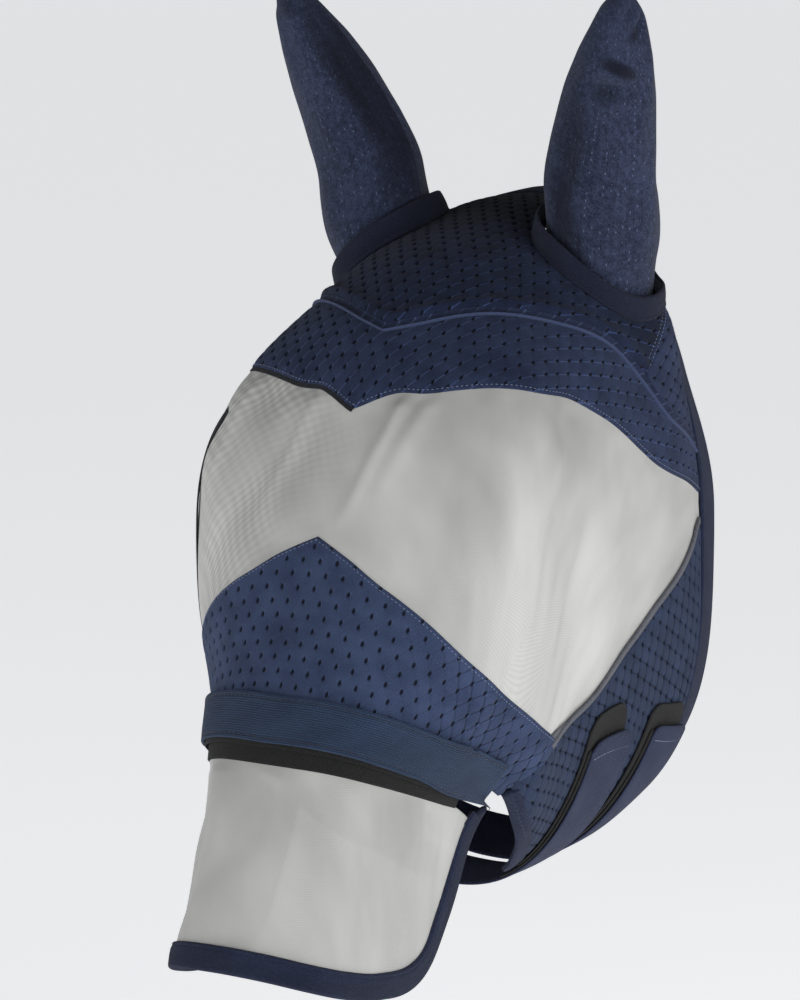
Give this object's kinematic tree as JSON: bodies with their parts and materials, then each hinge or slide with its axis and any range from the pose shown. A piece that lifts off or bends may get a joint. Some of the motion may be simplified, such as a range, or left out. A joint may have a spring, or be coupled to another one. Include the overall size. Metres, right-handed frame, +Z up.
{
  "type": "horse fly mask",
  "caption": "Horse fly mask: ear covers, spacer-mesh crown, brow, nose and cheek panels, see-through eye mesh, nose band, muzzle flap and hook-and-loop throat straps.",
  "frame": {"origin": "the poll: inside of the crown on the centre line, between the ears", "axes": "+Z up, -Y the way the horse looks, +X the horse's left side"},
  "size_m": [0.2426, 0.3782, 0.5385],
  "materials": {
    "spacer_mesh": "soft 3-D spacer mesh, navy, with staggered slots",
    "ear_knit": "soft stretch knit, dark navy",
    "binding_cloth": "brushed edge binding, dark navy",
    "band_web": "woven webbing, blue navy",
    "sheer_mesh": "fine see-through net, pale grey",
    "grey_trim": "matt ribbon, grey",
    "hook_loop": "hook-and-loop tape, black"
  },
  "bodies": {
    "mask": {"crown_panel": "spacer_mesh", "brow_piping": "binding_cloth", "brow_panel": "spacer_mesh", "eye_mesh": "sheer_mesh", "nose_panel": "spacer_mesh", "nose_hook_strip": "hook_loop", "nose_band": "band_web", "crown_binding": "binding_cloth", "left_crown_gusset": "spacer_mesh", "left_eye_trim": "grey_trim", "left_cheek_panel": "spacer_mesh", "left_rear_binding": "binding_cloth", "left_jaw_binding": "binding_cloth", "left_front_binding": "binding_cloth", "left_ear_collar": "binding_cloth", "right_crown_gusset": "spacer_mesh", "right_eye_trim": "grey_trim", "right_cheek_panel": "spacer_mesh", "right_rear_binding": "binding_cloth", "right_jaw_binding": "binding_cloth", "right_front_binding": "binding_cloth", "right_ear_collar": "binding_cloth", "front_strap_anchor": "binding_cloth", "front_loop_patch": "hook_loop", "rear_strap_anchor": "binding_cloth", "rear_loop_patch": "hook_loop"},
    "left_ear": {"left_ear_front": "ear_knit", "left_ear_back": "ear_knit"},
    "right_ear": {"right_ear_front": "ear_knit", "right_ear_back": "ear_knit"},
    "front_throat_strap": {"front_strap": "binding_cloth", "front_hook_pad": "hook_loop"},
    "rear_throat_strap": {"rear_strap": "binding_cloth", "rear_hook_pad": "hook_loop"},
    "muzzle_flap": {"flap_loop_strip": "hook_loop", "flap_mesh": "sheer_mesh", "flap_binding": "binding_cloth"}
  },
  "joints": [
    {"name": "left_ear_swivel", "type": "hinge", "parent": "mask", "child": "left_ear", "pos_m": [0.069, -0.01, -0.027], "axis": [0.2406, -0.3052, 0.9214], "range_deg": [-30, 30]},
    {"name": "right_ear_swivel", "type": "hinge", "parent": "mask", "child": "right_ear", "pos_m": [-0.069, -0.01, -0.027], "axis": [0.2406, 0.3052, -0.9214], "range_deg": [-30, 30]},
    {"name": "front_strap_fold", "type": "hinge", "parent": "mask", "child": "front_throat_strap", "pos_m": [-0.0429, -0.0435, -0.38], "axis": [-0.0837, 0.9938, 0.0728], "range_deg": [0, 95]},
    {"name": "rear_strap_fold", "type": "hinge", "parent": "mask", "child": "rear_throat_strap", "pos_m": [-0.0469, 0.0096, -0.3724], "axis": [-0.0619, 0.9747, 0.2148], "range_deg": [0, 95]},
    {"name": "flap_lift", "type": "hinge", "parent": "mask", "child": "muzzle_flap", "pos_m": [0, -0.2632, -0.2702], "axis": [-1, 0, 0], "range_deg": [0, 65]}
  ]
}
